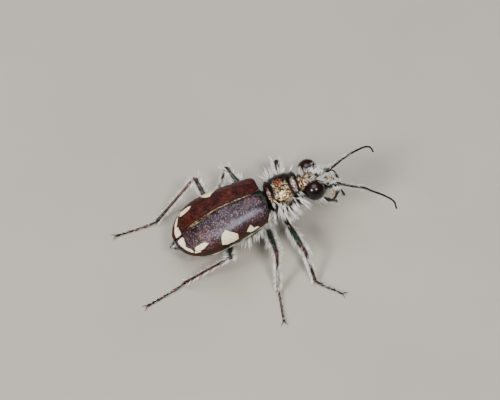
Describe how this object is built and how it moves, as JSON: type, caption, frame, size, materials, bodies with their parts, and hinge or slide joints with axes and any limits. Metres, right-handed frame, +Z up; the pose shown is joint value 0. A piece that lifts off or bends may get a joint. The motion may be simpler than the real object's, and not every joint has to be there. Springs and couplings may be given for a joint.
{
  "type": "tiger beetle",
  "caption": "Life-size standing tiger beetle with long legs and feelers, bulging eyes and smooth domed wing cases with cream spots.",
  "frame": {"origin": "centre of the footprint of the box round the whole beetle, on the floor under its feet", "axes": "+Z up from the floor, -Y the way the beetle faces, +X to its left side"},
  "size_m": [0.0132, 0.0204, 0.0061],
  "materials": {
    "wing_case": "dark maroon horny wing case with a satin purple sheen, cream spots and a thin green-gold rim",
    "bronze_plate": "wrinkled metallic bronze and copper horny plate with green-black glints and white bristles",
    "black_plate": "black horny plate with a faint green and copper gloss and white bristles",
    "eye": "dark brown glossy compound eye with fine facets",
    "ivory": "cream-white upper lip, slightly translucent",
    "jaw": "dark red-brown jaw, cream at the outer base",
    "limb": "black with copper, pink and green metallic glints, white bristles and spines"
  },
  "bodies": {
    "root": {"head": "bronze_plate", "prothorax": "bronze_plate", "hind_chest": "black_plate", "abdomen": "black_plate", "labrum": "ivory", "eye_left": "eye", "wing_case_left": "wing_case", "mandible_left": "jaw", "maxillary_palp_left": "limb", "labial_palp_left": "limb", "feeler_left_scape": "limb", "feeler_left_inner": "limb", "feeler_left_outer": "limb", "leg_front_left_femur": "limb", "leg_front_left_tibia": "limb", "leg_front_left_tarsus": "limb", "leg_middle_left_femur": "limb", "leg_middle_left_tibia": "limb", "leg_middle_left_tarsus": "limb", "leg_hind_left_femur": "limb", "leg_hind_left_tibia": "limb", "leg_hind_left_tarsus": "limb", "eye_right": "eye", "wing_case_right": "wing_case", "mandible_right": "jaw", "maxillary_palp_right": "limb", "labial_palp_right": "limb", "feeler_right_scape": "limb", "feeler_right_inner": "limb", "feeler_right_outer": "limb", "leg_front_right_femur": "limb", "leg_front_right_tibia": "limb", "leg_front_right_tarsus": "limb", "leg_middle_right_femur": "limb", "leg_middle_right_tibia": "limb", "leg_middle_right_tarsus": "limb", "leg_hind_right_femur": "limb", "leg_hind_right_tibia": "limb", "leg_hind_right_tarsus": "limb"}
  },
  "joints": []
}
